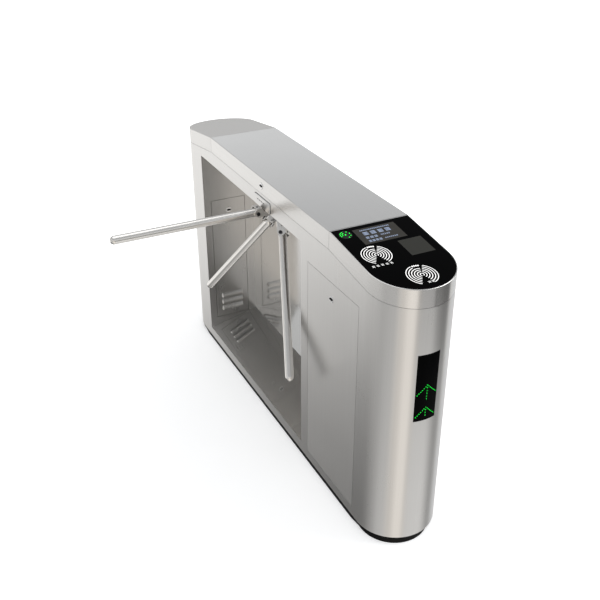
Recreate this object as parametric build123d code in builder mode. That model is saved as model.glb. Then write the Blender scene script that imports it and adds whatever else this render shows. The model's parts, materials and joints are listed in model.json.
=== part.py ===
from build123d import *
import os
from math import cos, sin, radians, sqrt

# Tripod visitor turnstile. Millimetres, +Z up.
# Origin: on the floor, at the middle of the cabinet's plan.
# +X runs along the cabinet to the end with the card readers.
# -Y is the passage side, where the niche is open and the arms stand out.

# ---------------------------------------------------------------- driving dimensions
LENGTH = 1710.0          # cabinet, end to end
WIDTH = 280.0            # cabinet depth; both ends are half round in plan
HEIGHT = 1000.0          # level part of the top
SHEET = 2.0              # stainless sheet
EDGE_ROUND = 1.8         # folded outer edges of the lid and caps
PLINTH_HEIGHT = 24.0
PLINTH_WALL = 3.0
PLINTH_END_INSET = 3.0
PLINTH_FRONT_INSET = 9.0
PLINTH_BACK_INSET = 30.0
RIDGE_X = 490.0          # the top slopes down beyond here, at both ends
END_DROP = 50.0          # fall of the top from ridge to end
SKIRT = 60.0             # depth of the lid's and caps' skirts
SEAM = 1.0               # visible gap between separate skins
NEAR_DOOR_GAP = 1.0      # gap round the near door
FAR_DOOR_GAP = 1.5       # and round the far one, which tips further

NICHE_FAR = -616.0       # niche walls along X
NICHE_NEAR = 300.0
NICHE_BOTTOM = 64.0      # front edge of the sloped floor
NICHE_TOP = 887.0
NICHE_BACK = 81.0        # face of the mirror-bright back wall
FLOOR_RISE = 51.0        # the niche floor climbs this much to the back wall

# tripod head: the hub axis leans 45 degrees, out and down towards the passage
HUB_POINT = (0.0, -68.0, 878.0)   # where the three arm lines meet on the hub axis
ARM_REACH = 622.0        # from that point to the arm's tip
ARM_RADIUS = 15.0
ARM_BORE = 13.0
HUB_SEAT = 44.0          # hub facet, measured along the arm from HUB_POINT
SEAT = 77.0              # where the clevis shank ends and its cheeks start
PIVOT = 98.0             # arm pivot bolt, measured the same way
BOLT_RADIUS = 5.0
SHAFT_RADIUS = 12.5
RUNNING = 0.05           # radial clearance of running fits
PAST = 9.0               # cutting shapes run this far past what they cut

# doors, locks
NEAR_DOOR = (350.0, 680.0, 58.0, 835.0)    # x low, x high, z low, z high
FAR_DOOR = (-108.0, 44.0, 110.0, 677.0)    # y low, y high, z low, z high
NEAR_LOCK = (514.0, 778.0)                 # x, z
FAR_LOCK = (-30.0, 625.0)                  # y, z
LID_LOCK = (-8.0, 969.0)                   # x, z
BARREL_RADIUS = 9.0
CAM_DEPTH = 16.0         # cam sits this far behind the outer face

# each door tips out on two pivot studs at its lower corners
STUD_RADIUS = 2.5
STUD_BACK = 5.0          # stud axis, behind the door's outer face
STUD_UP = 6.0            # and above its lower edge
STUD_OUT = 8.0           # studs reach this far past the door's sides
BRACKET_GAP = 4.0        # door's side to bracket
BRACKET_THICK = 3.0
BRACKET_DEPTH = 8.5
BRACKET_HEIGHT = 16.0

HALF = WIDTH / 2
END_X = LENGTH / 2
LEAN = sqrt(0.5)

os.makedirs("parts", exist_ok=True)


def save(piece, label):
    piece.part.label = label
    export_step(piece.part, f"parts/{label}.step")


# ---------------------------------------------------------------- outline helpers
def top_z(x):
    """Height of the top skin's outer face at x."""
    return HEIGHT - END_DROP * max(0.0, abs(x) - RIDGE_X) / (END_X - RIDGE_X)


def side_profile(x_low, x_high, z_low, below_top):
    """Side outline between two x, from z_low up to the top line lowered by below_top."""
    ridges = [x for x in (RIDGE_X, -RIDGE_X) if x_low < x < x_high]
    top = [(x, top_z(x) - below_top) for x in [x_high] + ridges + [x_low]]
    return [(x_low, z_low), (x_high, z_low)] + top


def prism(x_low, x_high, z_low, below_top, inset):
    """The cabinet's stadium plan, inset, between two x, under the lowered top line."""
    with BuildPart() as body:
        with BuildSketch():
            SlotOverall(LENGTH - 2 * inset, WIDTH - 2 * inset)
        extrude(amount=HEIGHT)
        with BuildSketch(Plane.XZ):
            with BuildLine():
                Polyline(side_profile(x_low, x_high, z_low, below_top), close=True)
            make_face()
        extrude(amount=WIDTH, both=True, mode=Mode.INTERSECT)
    return body.part


def box_between(low, high, mode=Mode.ADD):
    """An axis-aligned box from its two corners."""
    size = [h - l for l, h in zip(low, high)]
    with Locations(tuple((h + l) / 2 for l, h in zip(low, high))):
        Box(*size, mode=mode)


def skin(x_low, x_high, z_low):
    """Body skin of the stadium outline, up to the seam under the skirts."""
    with BuildPart() as wall:
        add(prism(x_low, x_high, z_low, SKIRT + SEAM, 0))
        add(prism(x_low - PAST, x_high + PAST, z_low - PAST, SKIRT, SHEET), mode=Mode.SUBTRACT)
    return wall.part


def cap(x_low, x_high):
    """A top skin with its skirt, open underneath."""
    with BuildPart() as shell:
        add(prism(x_low, x_high, 0, 0, 0))
        top = shell.faces().sort_by(Axis.Z)[-1]
        fillet(top.edges().filter_by(Axis.Y, reverse=True), EDGE_ROUND)
        add(prism(x_low - PAST, x_high + PAST, -PAST, SHEET, SHEET), mode=Mode.SUBTRACT)
        add(prism(x_low - PAST, x_high + PAST, -PAST, SKIRT, -PAST), mode=Mode.SUBTRACT)
    return shell.part


def near_stud_plane(x):
    """Plane square to the near door's studs, on their axis, its X pointing into the cabinet."""
    origin = (x, -HALF + STUD_BACK, NEAR_DOOR[2] + STUD_UP)
    return Plane(origin=origin, x_dir=(0, 1, 0), z_dir=(1, 0, 0))


def far_stud_plane(y):
    """The same for the far door, whose outer face looks along +X."""
    origin = (NICHE_FAR - STUD_BACK, y, FAR_DOOR[2] + STUD_UP)
    return Plane(origin=origin, x_dir=(-1, 0, 0), z_dir=(0, 1, 0))


def stud_bracket(plane):
    """Bracket on the back of a skin, bored for a pivot stud."""
    with BuildPart() as bracket:
        with BuildSketch(plane):
            with Locations((BRACKET_DEPTH / 2 - (STUD_BACK - SHEET), 0)):
                Rectangle(BRACKET_DEPTH, BRACKET_HEIGHT)
            Circle(STUD_RADIUS + RUNNING, mode=Mode.SUBTRACT)
        extrude(amount=BRACKET_THICK)
    return bracket.part


# ---------------------------------------------------------------- base
PLINTH_LENGTH = LENGTH - 2 * PLINTH_END_INSET
PLINTH_WIDTH = WIDTH - PLINTH_FRONT_INSET - PLINTH_BACK_INSET
PLINTH_Y = (PLINTH_FRONT_INSET - PLINTH_BACK_INSET) / 2
with BuildPart() as plinth:
    with BuildSketch(Plane(origin=(0, PLINTH_Y, 0))):
        SlotOverall(PLINTH_LENGTH, PLINTH_WIDTH)
        offset(amount=-PLINTH_WALL, mode=Mode.SUBTRACT)
    extrude(amount=PLINTH_HEIGHT)
save(plinth, "plinth")

BASE_THICKNESS = 6.0
ANCHOR_RADIUS = 7.0
ANCHOR_ACCESS = 20.0     # holes in the pan above, for the anchors' nuts
NEAR_ANCHORS = (530.0, 240.0, 160.0)       # pattern centre x, spacing x, spacing y
FAR_ANCHORS = (-730.0, 120.0, 160.0)
CABLE_X = 530.0
GLAND_RADIUS = 25.0
GLAND_BORE = 20.0
GLAND_RISE = 12.0        # the gland stands this far above the floor pan
GLAND_NUT = 32.0         # corner radius of its hexagon
GLAND_NUT_THICK = 6.0
GLAND_CHAMFER = 1.5
with BuildPart() as base_plate:
    with BuildSketch():
        with Locations((0, PLINTH_Y)):
            SlotOverall(PLINTH_LENGTH - 2 * PLINTH_WALL, PLINTH_WIDTH - 2 * PLINTH_WALL)
        for centre, spacing_x, spacing_y in (NEAR_ANCHORS, FAR_ANCHORS):
            with Locations((centre, 0)):
                with GridLocations(spacing_x, spacing_y, 2, 2):
                    Circle(ANCHOR_RADIUS, mode=Mode.SUBTRACT)
        with Locations((CABLE_X, 0)):
            Circle(GLAND_RADIUS, mode=Mode.SUBTRACT)
    extrude(amount=BASE_THICKNESS)
save(base_plate, "base_plate")

with BuildPart() as floor_pan:
    with BuildSketch(Plane.XY.offset(PLINTH_HEIGHT)):
        SlotOverall(LENGTH - 2 * SHEET, WIDTH - 2 * SHEET)
        for centre, spacing_x, spacing_y in (NEAR_ANCHORS, FAR_ANCHORS):
            with Locations((centre, 0)):
                with GridLocations(spacing_x, spacing_y, 2, 2):
                    Circle(ANCHOR_ACCESS, mode=Mode.SUBTRACT)
        with Locations((CABLE_X, 0)):
            Circle(GLAND_RADIUS, mode=Mode.SUBTRACT)
    extrude(amount=SHEET)
PAN_TOP = PLINTH_HEIGHT + SHEET
save(floor_pan, "floor_pan")

with BuildPart() as cable_gland:
    with BuildSketch():
        with Locations((CABLE_X, 0)):
            Circle(GLAND_RADIUS)
            Circle(GLAND_BORE, mode=Mode.SUBTRACT)
    extrude(amount=PAN_TOP + GLAND_RISE)
    with BuildSketch(Plane.XY.offset(PAN_TOP)):
        with Locations((CABLE_X, 0)):
            RegularPolygon(GLAND_NUT, 6)
            Circle(GLAND_RADIUS, mode=Mode.SUBTRACT)
    extrude(amount=GLAND_NUT_THICK)
    chamfer(cable_gland.edges().group_by(Axis.Z)[-1], GLAND_CHAMFER)
save(cable_gland, "cable_gland")

# ---------------------------------------------------------------- frame tubes
TUBE = 25.0
TUBE_WALL = 2.0
WELD_GAP = 0.2           # keeps each tube a solid of its own
TUBE_SLACK = 0.5         # between the tubes and the skins
TUBE_Y = HALF - SHEET - TUBE_SLACK - TUBE / 2
RAIL_LOW = NICHE_TOP + SHEET
RAIL_HIGH = RAIL_LOW + TUBE
POST_FAR_X = NICHE_FAR - 24
POST_NEAR_X = NICHE_NEAR + 25
with BuildPart() as frame_tubes:
    with BuildSketch(Plane.XY.offset(PAN_TOP)):
        for x in (POST_FAR_X, POST_NEAR_X):
            with Locations((x, TUBE_Y), (x, -TUBE_Y)):
                Rectangle(TUBE, TUBE)
                Rectangle(TUBE - 2 * TUBE_WALL, TUBE - 2 * TUBE_WALL, mode=Mode.SUBTRACT)
    extrude(amount=RAIL_HIGH - PAN_TOP)
    with BuildSketch(Plane.YZ.offset(POST_FAR_X + TUBE / 2 + WELD_GAP)):
        with Locations(*[(y, RAIL_LOW + TUBE / 2) for y in (TUBE_Y, -TUBE_Y)]):
            Rectangle(TUBE, TUBE)
            Rectangle(TUBE - 2 * TUBE_WALL, TUBE - 2 * TUBE_WALL, mode=Mode.SUBTRACT)
    extrude(amount=POST_NEAR_X - POST_FAR_X - TUBE - 2 * WELD_GAP)
save(frame_tubes, "frame_tubes")

# ---------------------------------------------------------------- outer skins
WINDOW_HALF = 38.0       # arrow window, half width
WINDOW_LOW = 497.0
WINDOW_HIGH = 734.0
WINDOW_GAP = 0.5
STRIKE = 12.5            # depth of the folded strikes that the lock cams catch
STRIKE_HALF = 15.0

with BuildPart() as near_end_shell:
    add(skin(NICHE_NEAR, END_X, PLINTH_HEIGHT))
    box_between(
        (NEAR_DOOR[0] - NEAR_DOOR_GAP, -HALF - PAST, NEAR_DOOR[2] - NEAR_DOOR_GAP),
        (NEAR_DOOR[1] + NEAR_DOOR_GAP, -HALF + PAST, NEAR_DOOR[3] + NEAR_DOOR_GAP),
        mode=Mode.SUBTRACT,
    )
    box_between(
        (END_X - HALF, -WINDOW_HALF - WINDOW_GAP, WINDOW_LOW - WINDOW_GAP),
        (END_X + PAST, WINDOW_HALF + WINDOW_GAP, WINDOW_HIGH + WINDOW_GAP),
        mode=Mode.SUBTRACT,
    )
    box_between(
        (NEAR_LOCK[0] - STRIKE_HALF, -HALF + SHEET, NEAR_DOOR[3] + NEAR_DOOR_GAP),
        (NEAR_LOCK[0] + STRIKE_HALF, -HALF + SHEET + STRIKE, NEAR_DOOR[3] + NEAR_DOOR_GAP + SHEET),
    )
    add(stud_bracket(near_stud_plane(NEAR_DOOR[0] - BRACKET_GAP - BRACKET_THICK)))
    add(stud_bracket(near_stud_plane(NEAR_DOOR[1] + BRACKET_GAP)))
save(near_end_shell, "near_end_shell")

with BuildPart() as far_end_shell:
    add(skin(-END_X, NICHE_FAR, PLINTH_HEIGHT))
save(far_end_shell, "far_end_shell")

with BuildPart() as beam_front:
    box_between((NICHE_FAR, -HALF, NICHE_TOP), (NICHE_NEAR, -HALF + SHEET, HEIGHT))
    with BuildSketch(Plane.XZ):
        with BuildLine():
            Polyline(side_profile(NICHE_FAR, NICHE_NEAR, NICHE_TOP, SKIRT + SEAM), close=True)
        make_face()
    extrude(amount=WIDTH, both=True, mode=Mode.INTERSECT)
    box_between(
        (LID_LOCK[0] - STRIKE_HALF, -HALF + SHEET, HEIGHT - SKIRT - SEAM - SHEET),
        (LID_LOCK[0] + STRIKE_HALF, -HALF + SHEET + STRIKE, HEIGHT - SKIRT - SEAM),
    )
save(beam_front, "beam_front")

with BuildPart() as front_sill:
    box_between(
        (NICHE_FAR, -HALF, PLINTH_HEIGHT),
        (NICHE_NEAR, -HALF + SHEET, NICHE_BOTTOM),
    )
save(front_sill, "front_sill")

with BuildPart() as rear_panel:
    box_between((NICHE_FAR, HALF - SHEET, PLINTH_HEIGHT), (NICHE_NEAR, HALF, HEIGHT))
    with BuildSketch(Plane.XZ):
        with BuildLine():
            Polyline(
                side_profile(NICHE_FAR, NICHE_NEAR, PLINTH_HEIGHT, SKIRT + SEAM), close=True
            )
        make_face()
    extrude(amount=WIDTH, both=True, mode=Mode.INTERSECT)
save(rear_panel, "rear_panel")

# ---------------------------------------------------------------- niche lining
INNER = HALF - SHEET
with BuildPart() as near_inner_wall:
    box_between((NICHE_NEAR, -INNER, PAN_TOP), (NICHE_NEAR + SHEET, INNER, RAIL_LOW))
save(near_inner_wall, "near_inner_wall")

with BuildPart() as far_inner_wall:
    box_between((NICHE_FAR - SHEET, -INNER, PAN_TOP), (NICHE_FAR, INNER, RAIL_LOW))
    box_between(
        (NICHE_FAR - PAST, FAR_DOOR[0] - FAR_DOOR_GAP, FAR_DOOR[2] - FAR_DOOR_GAP),
        (NICHE_FAR + PAST, FAR_DOOR[1] + FAR_DOOR_GAP, FAR_DOOR[3] + FAR_DOOR_GAP),
        mode=Mode.SUBTRACT,
    )
    box_between(
        (NICHE_FAR - SHEET - STRIKE, FAR_LOCK[0] - STRIKE_HALF, FAR_DOOR[3] + FAR_DOOR_GAP),
        (NICHE_FAR - SHEET, FAR_LOCK[0] + STRIKE_HALF, FAR_DOOR[3] + FAR_DOOR_GAP + SHEET),
    )
    add(stud_bracket(far_stud_plane(FAR_DOOR[0] - BRACKET_GAP - BRACKET_THICK)))
    add(stud_bracket(far_stud_plane(FAR_DOOR[1] + BRACKET_GAP)))
save(far_inner_wall, "far_inner_wall")

with BuildPart() as niche_back_wall:
    box_between(
        (NICHE_FAR, NICHE_BACK, PAN_TOP),
        (NICHE_NEAR, NICHE_BACK + SHEET, NICHE_TOP),
    )
save(niche_back_wall, "niche_back_wall")

with BuildPart() as niche_floor:
    with BuildSketch(Plane.YZ.offset(NICHE_FAR)):
        with BuildLine():
            Polyline(
                (-INNER, NICHE_BOTTOM),
                (NICHE_BACK, NICHE_BOTTOM + FLOOR_RISE),
                (NICHE_BACK, NICHE_BOTTOM + FLOOR_RISE - SHEET),
                (-INNER, NICHE_BOTTOM - SHEET),
                close=True,
            )
        make_face()
    extrude(amount=NICHE_NEAR - NICHE_FAR)
save(niche_floor, "niche_floor")

# hub opening in the tray: the neck passes through at 45 degrees
NECK_RADIUS = 20.0
NECK_SLACK = 10.0
NECK_Y = HUB_POINT[1] + (NICHE_TOP - HUB_POINT[2])
with BuildPart() as beam_tray:
    box_between((NICHE_FAR, -INNER, NICHE_TOP), (NICHE_NEAR, INNER, NICHE_TOP + SHEET))
    with BuildSketch(Plane.XY.offset(NICHE_TOP)):
        with Locations((0, NECK_Y)):
            RectangleRounded(
                2 * (NECK_RADIUS + NECK_SLACK), 2 * (NECK_RADIUS / LEAN + NECK_SLACK), NECK_SLACK + 2
            )
    extrude(amount=SHEET, mode=Mode.SUBTRACT)
save(beam_tray, "beam_tray")

PLATE_HALF = 64.0
PLATE_HEIGHT = 40.0
PLATE_PROUD = 2.5
PLATE_BEVEL = 1.8
PLATE_SLOT = (11.0, 4.0)
PLATE_SLOTS_X = (-36.0, -20.0, -4.0, 12.0)
PLATE_SLOTS_UP = 24.0
with BuildPart() as mechanism_face_plate:
    with BuildSketch(Plane.XZ.offset(HALF)):
        with Locations((0, NICHE_TOP + PLATE_HEIGHT / 2)):
            RectangleRounded(2 * PLATE_HALF, PLATE_HEIGHT, 8)
    extrude(amount=PLATE_PROUD)
    chamfer(mechanism_face_plate.faces().sort_by(Axis.Y)[0].edges(), PLATE_BEVEL)
    with BuildSketch(Plane.XZ.offset(HALF)):
        with Locations(*[(x, NICHE_TOP + PLATE_SLOTS_UP) for x in PLATE_SLOTS_X]):
            SlotOverall(*PLATE_SLOT)
    extrude(amount=PLATE_PROUD, mode=Mode.SUBTRACT)
save(mechanism_face_plate, "mechanism_face_plate")

# ---------------------------------------------------------------- caps and lid
with BuildPart() as far_cap:
    add(cap(-END_X, -RIDGE_X - SEAM / 2))
save(far_cap, "far_cap")

# near cap: carries the black reader glass on a ledge, inside a thin bright rim
RIM = 3.0
GLASS_THICK = 4.0
GLASS_GAP = 0.3
LEDGE_WIDTH = 10.0
GLASS_START = RIDGE_X + SEAM / 2 + RIM
glass_hole = prism(GLASS_START, END_X, NICHE_TOP, -PAST, RIM)
ledge_outer = prism(RIDGE_X + SEAM / 2, END_X, 0, GLASS_THICK, SHEET)
ledge_under = prism(RIDGE_X + SEAM / 2, END_X, 0, GLASS_THICK + SHEET, 0)
ledge_inner = prism(GLASS_START + LEDGE_WIDTH, END_X, 0, 0, RIM + LEDGE_WIDTH)
with BuildPart() as ledge:
    add(ledge_outer)
    add(ledge_under, mode=Mode.SUBTRACT)
    add(ledge_inner, mode=Mode.SUBTRACT)
with BuildPart() as near_cap:
    add(cap(RIDGE_X + SEAM / 2, END_X))
    add(glass_hole, mode=Mode.SUBTRACT)
    add(ledge.part)
save(near_cap, "near_cap")

with BuildPart() as main_lid:
    add(cap(-RIDGE_X + SEAM / 2, RIDGE_X - SEAM / 2))
    with BuildSketch(Plane.XZ.offset(HALF)):
        with Locations(LID_LOCK):
            Circle(BARREL_RADIUS)
    extrude(amount=-SHEET, mode=Mode.SUBTRACT)
save(main_lid, "main_lid")

# external butt hinges along the back of the lid
HINGE_RADIUS = 3.5
PIN_RADIUS = 1.5
HINGE_Y = HALF + HINGE_RADIUS
HINGE_Z = HEIGHT - SKIRT
HINGE_X = (-360.0, 0.0, 360.0)
LEAF = 26.0
LEAF_THICK = 2.0
LEAF_GAP = 1.5           # the leaves' plain strips stay this clear of the knuckles
KNUCKLE = 24.0           # lid knuckle; the body has one each side of it
OUTER_KNUCKLE = 17.0
KNUCKLE_GAP = 0.5
PLUG_DEPTH = 2.0         # the knuckles' outer ends are plugged


def knuckle(x_low, x_high, leaf_sign):
    """One hinge knuckle with its strip of leaf, above (+1) or below (-1) the pin."""
    with BuildPart() as piece:
        with BuildSketch(Plane.YZ.offset(x_low)):
            with Locations((HINGE_Y, HINGE_Z)):
                Circle(HINGE_RADIUS)
            with Locations((HALF + LEAF_THICK / 2, HINGE_Z + leaf_sign * LEAF / 2)):
                Rectangle(LEAF_THICK, LEAF)
            with Locations((HINGE_Y, HINGE_Z)):
                Circle(PIN_RADIUS + RUNNING, mode=Mode.SUBTRACT)
        extrude(amount=x_high - x_low)
    return piece.part


with BuildPart() as lid_hinge_leaves:
    for x in HINGE_X:
        add(knuckle(x - KNUCKLE / 2, x + KNUCKLE / 2, 1))
    for x in HINGE_X:
        box_between(
            (x - KNUCKLE / 2 - OUTER_KNUCKLE, HALF, HINGE_Z + HINGE_RADIUS + LEAF_GAP),
            (x + KNUCKLE / 2 + OUTER_KNUCKLE, HALF + LEAF_THICK, HINGE_Z + LEAF),
        )
save(lid_hinge_leaves, "lid_hinge_leaves")

with BuildPart() as body_hinge_leaves:
    for x in HINGE_X:
        start = KNUCKLE / 2 + KNUCKLE_GAP
        add(knuckle(x + start, x + start + OUTER_KNUCKLE, -1))
        add(knuckle(x - start - OUTER_KNUCKLE, x - start, -1))
        box_between(
            (x - start - OUTER_KNUCKLE, HALF, HINGE_Z - LEAF),
            (x + start + OUTER_KNUCKLE, HALF + LEAF_THICK, HINGE_Z - HINGE_RADIUS - LEAF_GAP),
        )
        with BuildSketch(Plane.YZ.offset(x - start - OUTER_KNUCKLE)):
            with Locations((HINGE_Y, HINGE_Z)):
                Circle(PIN_RADIUS)
        extrude(amount=2 * (start + OUTER_KNUCKLE))
        for end in (x - start - OUTER_KNUCKLE, x + start + OUTER_KNUCKLE - PLUG_DEPTH):
            with BuildSketch(Plane.YZ.offset(end)):
                with Locations((HINGE_Y, HINGE_Z)):
                    Circle(HINGE_RADIUS - 0.5)
            extrude(amount=PLUG_DEPTH)
save(body_hinge_leaves, "body_hinge_leaves")

# ---------------------------------------------------------------- reader end
# plane of the sloped glass's outer face, origin at the ridge
SLOPE_LENGTH = sqrt((END_X - RIDGE_X) ** 2 + END_DROP**2)
SLOPE_COS = (END_X - RIDGE_X) / SLOPE_LENGTH
SLOPE_SIN = END_DROP / SLOPE_LENGTH
GLASS = Plane(
    origin=(RIDGE_X, 0, HEIGHT),
    x_dir=(SLOPE_COS, 0, -SLOPE_SIN),
    z_dir=(SLOPE_SIN, 0, SLOPE_COS),
)
DISPLAY = (63.0, 0.0, 86.0, 146.0)         # along slope, across, size along, size across
SCANNER = (162.0, 68.0, 84.0, 82.0)
CARD_UPPER = (163.0, -70.0, 47.0)          # along slope, across, radius
CARD_LOWER = (298.0, 0.0, 48.0)
INDICATOR = (36.0, -103.0, 21.0)
LENS_GAP = 0.2
MODULE_LIP = 3.0         # modules are this much larger than their openings, behind the glass
READER_SIDE = 1.7        # side of an antenna module, over the radius of its mark
READER_THICK = 14.0
LENS_DEPTH = 12.0        # the lens's body behind the glass
LENS_PROUD = 0.3

with BuildPart() as reader_glass:
    add(prism(GLASS_START + GLASS_GAP, END_X, 0, 0, RIM + GLASS_GAP))
    add(prism(0, END_X, -PAST, GLASS_THICK, 0), mode=Mode.SUBTRACT)
    with BuildSketch(GLASS):
        for along, across, size_along, size_across in (DISPLAY, SCANNER):
            with Locations((along, across)):
                Rectangle(size_along, size_across)
        with Locations(INDICATOR[:2]):
            Circle(INDICATOR[2])
    extrude(amount=PAST, both=True, mode=Mode.SUBTRACT)
save(reader_glass, "reader_glass")

for label, (along, across, size_along, size_across), depth in (
    ("display_module", DISPLAY, 16.0),
    ("scanner_module", SCANNER, 38.0),
):
    with BuildPart() as module:
        with BuildSketch(GLASS.offset(-GLASS_THICK)):
            with Locations((along, across)):
                Rectangle(size_along - 2 * LENS_GAP, size_across - 2 * LENS_GAP)
        extrude(amount=GLASS_THICK - LENS_GAP)
        with BuildSketch(GLASS.offset(-GLASS_THICK - depth)):
            with Locations((along, across)):
                RectangleRounded(size_along + 2 * MODULE_LIP, size_across + 2 * MODULE_LIP, MODULE_LIP)
        extrude(amount=depth)
    save(module, label)

with BuildPart() as indicator_lens:
    with BuildSketch(GLASS.offset(-GLASS_THICK - LENS_DEPTH)):
        with Locations(INDICATOR[:2]):
            Circle(INDICATOR[2] - LENS_GAP)
    extrude(amount=GLASS_THICK + LENS_DEPTH + LENS_PROUD)
save(indicator_lens, "indicator_lens")

with BuildPart() as card_readers:
    with BuildSketch(GLASS.offset(-GLASS_THICK - READER_THICK)):
        for along, across, radius in (CARD_UPPER, CARD_LOWER):
            with Locations((along, across)):
                RectangleRounded(READER_SIDE * radius, READER_SIDE * radius, 5)
    extrude(amount=READER_THICK)
save(card_readers, "card_readers")

with BuildPart() as arrow_window:
    add(skin(END_X - HALF, END_X, PLINTH_HEIGHT))
    box_between(
        (END_X - HALF, -WINDOW_HALF, WINDOW_LOW),
        (END_X + PAST, WINDOW_HALF, WINDOW_HIGH),
        mode=Mode.INTERSECT,
    )
save(arrow_window, "arrow_window")

LED_BOARD_X = END_X - 26.0
LED_BOARD_THICK = 1.6
LED_POST = 10.0
with BuildPart() as arrow_led_board:
    box_between(
        (LED_BOARD_X, -WINDOW_HALF - 8, WINDOW_LOW - 10),
        (LED_BOARD_X + LED_BOARD_THICK, WINDOW_HALF + 8, WINDOW_HIGH + 10),
    )
    for z in (WINDOW_LOW, WINDOW_HIGH):
        with BuildSketch(Plane.YZ.offset(LED_BOARD_X - LED_POST)):
            with Locations((-WINDOW_HALF, z), (WINDOW_HALF, z)):
                Circle(3)
        extrude(amount=LED_POST)
save(arrow_led_board, "arrow_led_board")

# ---------------------------------------------------------------- doors
FLANGE = 12.0            # depth of the doors' folded edges
FLANGE_INSET = 1.0
FLANGE_LIFT = 4.0        # the lower fold starts this far above the lower edge
STUD_ROOT = FLANGE_INSET + SHEET
with BuildPart() as near_door:
    x_low, x_high, z_low, z_high = NEAR_DOOR
    box_between((x_low, -HALF, z_low), (x_high, -INNER, z_high))
    box_between(
        (x_low + FLANGE_INSET, -INNER, z_low + FLANGE_LIFT),
        (x_high - FLANGE_INSET, -INNER + FLANGE, z_high - FLANGE_INSET),
    )
    box_between(
        (x_low + FLANGE_INSET + SHEET, -INNER, z_low + FLANGE_LIFT + SHEET),
        (x_high - FLANGE_INSET - SHEET, -INNER + FLANGE, z_high - FLANGE_INSET - SHEET),
        mode=Mode.SUBTRACT,
    )
    with BuildSketch(Plane.XZ.offset(HALF)):
        with Locations(NEAR_LOCK):
            Circle(BARREL_RADIUS)
    extrude(amount=-SHEET, mode=Mode.SUBTRACT)
    for x in (x_low - STUD_OUT, x_high - STUD_ROOT):
        with BuildSketch(near_stud_plane(x)):
            Circle(STUD_RADIUS)
        extrude(amount=STUD_OUT + STUD_ROOT)
save(near_door, "near_door")

# three pressed louvres low in the far door, their mouths facing down
LOUVRE_TOPS = (227.0, 195.0, 163.0)
LOUVRE_HEIGHT = 20.0
LOUVRE_PROUD = 8.0
LOUVRE_HALF = 50.0
LOUVRE_SHEET = 1.5
LOUVRE_ROUND = 5.0
DOOR_BACK = NICHE_FAR - SHEET
DOOR_MIDDLE = (FAR_DOOR[0] + FAR_DOOR[1]) / 2


def louvre(top, sheet, root):
    """Solid hood of one louvre, drawn in by sheet and starting at x = root."""
    nose = NICHE_FAR + LOUVRE_PROUD - sheet
    high = top - sheet
    low = top - LOUVRE_HEIGHT
    with BuildPart() as hood:
        with BuildSketch(Plane.XZ.offset(-DOOR_MIDDLE - LOUVRE_HALF + sheet)):
            with BuildLine():
                Polyline((NICHE_FAR, high), (root, high), (root, low), (nose, low))
                RadiusArc((nose, low), (NICHE_FAR, high), -30)
            make_face()
        extrude(amount=2 * LOUVRE_HALF - 2 * sheet)
        ends = hood.edges().filter_by(GeomType.CIRCLE)
        fillet(ends, LOUVRE_ROUND - sheet)
    return hood.part


with BuildPart() as far_door:
    y_low, y_high, z_low, z_high = FAR_DOOR
    box_between((DOOR_BACK, y_low, z_low), (NICHE_FAR, y_high, z_high))
    box_between(
        (DOOR_BACK - FLANGE, y_low + FLANGE_INSET, z_low + FLANGE_LIFT),
        (DOOR_BACK, y_high - FLANGE_INSET, z_high - FLANGE_INSET),
    )
    box_between(
        (DOOR_BACK - FLANGE, y_low + FLANGE_INSET + SHEET, z_low + FLANGE_LIFT + SHEET),
        (DOOR_BACK, y_high - FLANGE_INSET - SHEET, z_high - FLANGE_INSET - SHEET),
        mode=Mode.SUBTRACT,
    )
    for top in LOUVRE_TOPS:
        add(louvre(top, 0, DOOR_BACK + 0.5))
        add(louvre(top, LOUVRE_SHEET, DOOR_BACK), mode=Mode.SUBTRACT)
    with BuildSketch(Plane.YZ.offset(NICHE_FAR)):
        with Locations(FAR_LOCK):
            Circle(BARREL_RADIUS)
    extrude(amount=-SHEET, mode=Mode.SUBTRACT)
    for y in (y_low - STUD_OUT, y_high - STUD_ROOT):
        with BuildSketch(far_stud_plane(y)):
            Circle(STUD_RADIUS)
        extrude(amount=STUD_OUT + STUD_ROOT)
save(far_door, "far_door")

# ---------------------------------------------------------------- cam locks
PLUG_RADIUS = 6.0
PLUG_PROUD = 0.7
KEY_SLOT = (10.0, 2.6)
KEY_DEPTH = 9.0
RING_WIDTH = 3.0         # the barrel's flange, round its hole
RING_PROUD = 1.5
CAM_GAP = 0.3
CAM_THICK = 2.5
CAM_WIDTH = 14.0


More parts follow.
